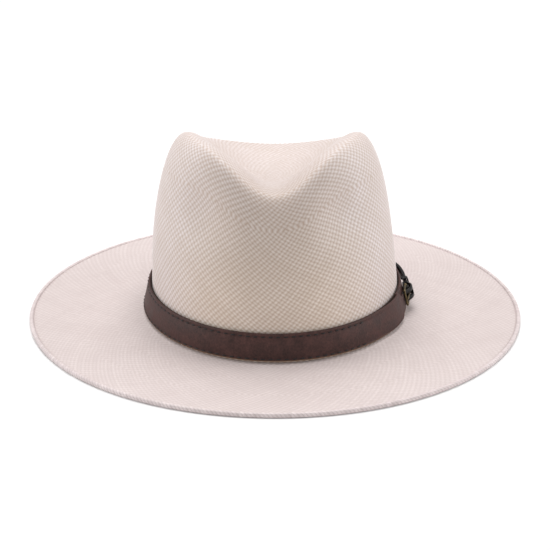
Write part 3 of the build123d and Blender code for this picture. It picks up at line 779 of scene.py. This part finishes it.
# ---------------------------------------------------------------- materials
class Shade:
    """A small helper that adds and links nodes of one Principled material."""

    def __init__(self, name, roughness=0.5, **sockets):
        self.material = bpy.data.materials.new(name)
        self.material.use_nodes = True
        self.tree = self.material.node_tree
        self.shader = self.tree.nodes["Principled BSDF"]
        self.shader.inputs["Roughness"].default_value = roughness
        for socket, value in sockets.items():
            self.shader.inputs[socket.replace("_", " ")].default_value = value

    def node(self, kind, **settings):
        node = self.tree.nodes.new(kind)
        for key, value in settings.items():
            if hasattr(node, key):
                setattr(node, key, value)
            else:
                node.inputs[key.replace("_", " ")].default_value = value
        return node

    def link(self, source, target):
        self.tree.links.new(source, target)

    def where(self, scale=(1, 1, 1)):
        """The piece's own coordinates in mm, stretched by scale."""
        place = self.node("ShaderNodeTexCoord")
        mapping = self.node("ShaderNodeMapping")
        mapping.inputs["Scale"].default_value = [1000 * s for s in scale]
        self.link(place.outputs["Object"], mapping.inputs["Vector"])
        return mapping.outputs["Vector"]

    def axis(self, letter):
        """One of the piece's own coordinates, in mm."""
        place = self.node("ShaderNodeSeparateXYZ")
        self.link(self.where(), place.inputs["Vector"])
        return place.outputs[letter]

    def noise(self, size, detail, scale=(1, 1, 1)):
        """Noise whose features are about size mm across."""
        noise = self.node("ShaderNodeTexNoise", Scale=1.0 / size, Detail=detail, Roughness=0.55)
        self.link(self.where(scale), noise.inputs["Vector"])
        return noise.outputs["Fac"]

    def attribute(self, name):
        return self.node("ShaderNodeAttribute", attribute_name=name).outputs["Fac"]

    def ramp(self, source, stops):
        ramp = self.node("ShaderNodeValToRGB")
        elements = ramp.color_ramp.elements
        while len(elements) < len(stops):
            elements.new(0.5)
        for element, (at, colour) in zip(elements, stops):
            element.position, element.color = at, (*colour, 1)
        self.link(source, ramp.inputs["Fac"])
        return ramp.outputs["Color"]

    def between(self, source, low_in, high_in, low, high):
        """Remaps a value from one range to another."""
        node = self.node("ShaderNodeMapRange", From_Min=low_in, From_Max=high_in,
                         To_Min=low, To_Max=high)
        self.link(source, node.inputs["Value"])
        return node.outputs["Result"]

    def maths(self, kind, a, b):
        node = self.node("ShaderNodeMath", operation=kind)
        for socket, value in zip(node.inputs, (a, b)):
            if isinstance(value, (int, float)):
                socket.default_value = value
            else:
                self.link(value, socket)
        return node.outputs["Value"]

    def blend(self, a, b, share):
        """A weighted sum: share of a and the rest of b."""
        return self.maths("ADD", self.maths("MULTIPLY", a, share),
                          self.maths("MULTIPLY", b, round(1 - share, 2)))

    def mix(self, factor, a, b, kind="MIX"):
        node = self.node("ShaderNodeMix", data_type="RGBA", blend_type=kind)
        for socket, value in ((node.inputs[0], factor), (node.inputs[6], a), (node.inputs[7], b)):
            if isinstance(value, (int, float)):
                socket.default_value = value
            elif isinstance(value, tuple):
                socket.default_value = (*value, 1)
            else:
                self.link(value, socket)
        return node.outputs[2]

    def colour(self, source):
        self.link(source, self.shader.inputs["Base Color"])

    def rough(self, source):
        self.link(source, self.shader.inputs["Roughness"])

    def bump(self, source, depth):
        """Raises the surface by depth mm times the source."""
        bump = self.node("ShaderNodeBump", Distance=depth * MM, Strength=1.0)
        self.link(source, bump.inputs["Height"])
        self.link(bump.outputs["Normal"], self.shader.inputs["Normal"])


def srgb(r, g, b):
    """Linear colour from ordinary 0 to 255 screen values, as every look below gives them."""
    return tuple(c / 12.92 if c <= 0.04045 else ((c + 0.055) / 1.055) ** 2.4
                 for c in (r / 255, g / 255, b / 255))


def straw_material(name, light, dark, gap_shade, gap_shade_share, front_shade=None):
    """Toquilla straw: pale strands, with painted shade in the gaps between them.

    The last argument paints shade on the front: it multiplies the front's colour,
    from its first value low down to its second, darker one at the top.
    """
    shade = Shade(name, 0.55, Specular_IOR_Level=0.35)
    height = shade.attribute("weave_height")
    strand = shade.between(shade.attribute("strand_tint"), -2.2, 2.2, 0, 1)
    blotch = shade.noise(22, 3)
    fibre = shade.noise(0.5, 2, scale=(1, 1, 1.6))
    tone = shade.blend(strand, blotch, 0.55)
    colour = shade.ramp(tone, [(0.25, srgb(*dark)), (0.75, srgb(*light))])
    # Painted shade in the gaps: the colour turns towards the gap colour where the strands dive.
    depth = shade.between(height, UNDER, 0.6, gap_shade_share, 0)
    colour = shade.mix(depth, colour, srgb(*gap_shade))
    if front_shade:
        # Painted shade: the crown's front is darkened and warmed, most towards its top.
        front = shade.between(shade.axis("Y"), -55.0, -92.0, 0, 1)
        high = shade.between(shade.axis("Z"), 40.0, 95.0, 0, 1)
        front_shade_tone = shade.ramp(high, [(0, front_shade[0]), (1, front_shade[1])])
        colour = shade.mix(front, colour, front_shade_tone, "MULTIPLY")
    # The ramp stops a fibre from being lighter than its strand.
    fleck = shade.ramp(shade.between(fibre, 0.35, 0.65, 0.94, 1.04),
                       [(0, (0, 0, 0)), (1, (1, 1, 1))])
    shade.colour(shade.mix(1.0, colour, fleck, "MULTIPLY"))
    shade.rough(shade.between(fibre, 0.3, 0.7, 0.48, 0.66))
    shade.bump(fibre, 0.05)
    return shade.material


def leather_material(name, light, dark, grain, roughness, gloss=0.4, low_edge=None):
    """Leather with a pebbled grain, a mottled dye and a soft shine.

    low_edge is the colour of a raw lower edge and the height in mm at which it ends.
    """
    shade = Shade(name, roughness, Specular_IOR_Level=gloss)
    cells = shade.node("ShaderNodeTexVoronoi", feature="SMOOTH_F1", Scale=1.0 / grain)
    shade.link(shade.where(), cells.inputs["Vector"])
    pebble = cells.outputs["Distance"]
    mottle = shade.noise(7, 5)
    fine = shade.noise(0.6, 3)
    tone = shade.blend(mottle, pebble, 0.7)
    colour = shade.ramp(tone, [(0.3, srgb(*dark)), (0.7, srgb(*light))])
    if low_edge:
        tan, top = low_edge
        raw = shade.between(shade.axis("Z"), top, top + 0.25, 1, 0)
        colour = shade.mix(raw, colour, srgb(*tan))
    shade.colour(colour)
    shade.rough(shade.between(mottle, 0.3, 0.7, roughness - 0.08, roughness + 0.1))
    shade.bump(shade.maths("ADD", shade.maths("MULTIPLY", pebble, -1.0),
                           shade.maths("MULTIPLY", fine, 0.5)), 0.12)
    return shade.material


def thread_material(name, light, dark):
    shade = Shade(name, 0.6)
    ply = shade.noise(0.35, 3)
    shade.colour(shade.ramp(ply, [(0.35, srgb(*dark)), (0.65, srgb(*light))]))
    shade.rough(shade.between(ply, 0.3, 0.7, 0.5, 0.7))
    shade.bump(ply, 0.05)
    return shade.material


def cloth_material(name, light, dark):
    """A close woven ribbon or tape, with a fine rib across it."""
    rib = 0.5
    shade = Shade(name, 0.5, Sheen_Weight=0.2)
    wave = shade.node("ShaderNodeTexWave", wave_type="BANDS", bands_direction="X",
                      Scale=1.0 / rib, Distortion=0.4)
    shade.link(shade.where(), wave.inputs["Vector"])
    tone = shade.blend(wave.outputs["Fac"], shade.noise(4, 4), 0.5)
    shade.colour(shade.ramp(tone, [(0.25, srgb(*dark)), (0.75, srgb(*light))]))
    shade.bump(wave.outputs["Fac"], 0.06)
    return shade.material


def brass_material(name, light, dark):
    """Antique brass: olive brown and brighter in random patches, lightened by painted sheen where
    its surface turns away from the view.
    """
    shade = Shade(name, 0.35, Metallic=0.9)
    patch = shade.noise(2.4, 5)
    # Painted sheen: Layer Weight's facing lightens the colour where the surface turns away from
    # the view.
    edge = shade.node("ShaderNodeLayerWeight", Blend=0.35).outputs["Facing"]
    tarnish_and_sheen = shade.maths("ADD", shade.maths("MULTIPLY", patch, 0.8),
                          shade.maths("MULTIPLY", edge, 0.12))
    shade.colour(shade.ramp(tarnish_and_sheen, [(0.3, srgb(*dark)), (0.6, srgb(*light))]))
    shade.rough(shade.between(patch, 0.35, 0.65, 0.26, 0.46))
    shade.bump(shade.noise(0.5, 3), 0.03)
    return shade.material


crown_straw = straw_material("crown_straw", (235, 227, 227), (224, 214, 211), (160, 118, 74), 0.58,
                             front_shade=((1.0, 0.965, 0.875), (0.80, 0.765, 0.715)))
brim_straw = straw_material("brim_straw", (222, 210, 208), (212, 199, 197), (170, 150, 142), 0.32)
straw_edge = straw_material("straw_edge", (229, 217, 216), (213, 200, 199), (150, 130, 126), 0.45)
band_leather = leather_material("band_leather", (87, 59, 55), (54, 36, 33), 1.1, 0.55,
                                gloss=0.25, low_edge=((128, 100, 76), 6.95))
# Painted shade: a near-black copy of the band's leather, for the strap's narrow end, the keeper
# and the chape's fold.
shaded_end_leather = leather_material("shaded_end_leather", (26, 19, 21), (12, 9, 10), 0.9, 0.36, gloss=0.2)
sweat_leather = leather_material("sweat_leather", (180, 148, 114), (152, 122, 92), 0.9, 0.5)
band_lining = leather_material("band_lining", (76, 56, 46), (52, 38, 32), 0.7, 0.75,
                               low_edge=((150, 122, 92), 8.0))
band_thread = thread_material("band_thread", (26, 17, 17), (13, 8, 8))
sweat_thread = thread_material("sweat_thread", (222, 206, 176), (196, 176, 142))
ribbon = cloth_material("ribbon", (70, 48, 38), (44, 30, 24))
tape = cloth_material("tape", (134, 116, 102), (108, 92, 80))
reed = thread_material("reed", (232, 226, 214), (214, 206, 190))
brass = brass_material("antique_brass", (122, 106, 76), (70, 60, 42))

# The CAD nodes that show as they were drawn.
NODE_LOOKS = {"sweatband_reed": reed, "buckle_frame": brass, "buckle_prong": brass}
for node_name, look in NODE_LOOKS.items():
    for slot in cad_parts[node_name].material_slots:
        slot.material = look

woven_piece("straw_brim", 0.0, 1.0, BRIM_RELIEF, brim_straw, False, SEED)
woven_piece("straw_crown", 1.0, CROWN_END, CROWN_RELIEF, crown_straw, True, SEED + 1)
edge_plait(straw_edge)
strap(band_leather, shaded_end_leather)
stitch_row("hatband_upper_stitching", BAND_HIGH - UPPER_ROW, band_thread)
stitch_row("hatband_lower_stitching", BAND_LOW + LOWER_ROW, band_thread)
keeper_loop(shaded_end_leather)
softened("chape_fold", "buckle_chape", 0.22, 6, shaded_end_leather, "hatband")
softened("chape_thread", "chape_stitches", 0.1, 2, band_thread, "hatband")
hoop("band_backing", band_point,
     rounded_outline(BAND_LOW - LINING_DROP, BAND_HIGH - LINING_TUCK,
                     BODY_GAP, BODY_GAP + LINING_THICK - LINING_SPARE),
     band_lining, "hatband", "hatband_lining")
sweatband(sweat_leather, sweat_thread)
seam_tape(tape)
ribbon_bow(ribbon)


# ---------------------------------------------------------------- studio
def studio():
    """A pale floor, and soft light from above, both sides and the front."""
    side, pale = 8.0, 0.86
    mesh = bpy.data.meshes.new("floor")
    corners = [(-side, -side, 0), (side, -side, 0), (side, side, 0), (-side, side, 0)]
    mesh.from_pydata(corners, [], [(0, 1, 2, 3)])
    floor = bpy.data.objects.new("floor", mesh)
    bpy.context.scene.collection.objects.link(floor)
    paint = Shade("floor_paint", 0.9, Base_Color=(pale, pale, pale, 1), Specular_IOR_Level=0.1)
    mesh.materials.append(paint.material)

    world = bpy.data.worlds.new("studio")
    world.use_nodes = True
    background = world.node_tree.nodes["Background"]
    background.inputs["Color"].default_value = (1, 1, 1, 1)
    background.inputs["Strength"].default_value = 0.38
    bpy.context.scene.world = world

    lamps = (("top", (0.0, 0.6, 1.8), 1.5, 30.0), ("left", (-1.7, 0.0, 0.8), 1.2, 12.8),
             ("right", (1.7, 0.0, 0.8), 1.2, 12.8), ("front", (0.0, -1.9, 0.8), 1.2, 3.5))
    for name, place, size, power in lamps:
        light = bpy.data.lights.new(name, "AREA")
        light.size, light.energy = size, power
        lamp = bpy.data.objects.new(name, light)
        lamp.location = place
        lamp.rotation_euler = (-Vector(place)).to_track_quat("-Z", "Y").to_euler()
        bpy.context.scene.collection.objects.link(lamp)


def camera():
    """Stands 1.3 m off and 20.5 degrees up, and looks slightly over the brim's middle."""
    distance, above, aim_up = 1.3, radians(20.5), radians(0.98)
    data = bpy.data.cameras.new("camera")
    data.lens, data.sensor_width, data.clip_start = 132.7, 36.0, 0.05
    view = bpy.data.objects.new("camera", data)
    view.location = (0, -distance * cos(above), distance * sin(above))
    view.rotation_euler = (pi / 2 - above + aim_up, 0, 0)
    bpy.context.scene.collection.objects.link(view)
    bpy.context.scene.camera = view


studio()
camera()
bpy.context.scene.view_settings.view_transform = "Standard"
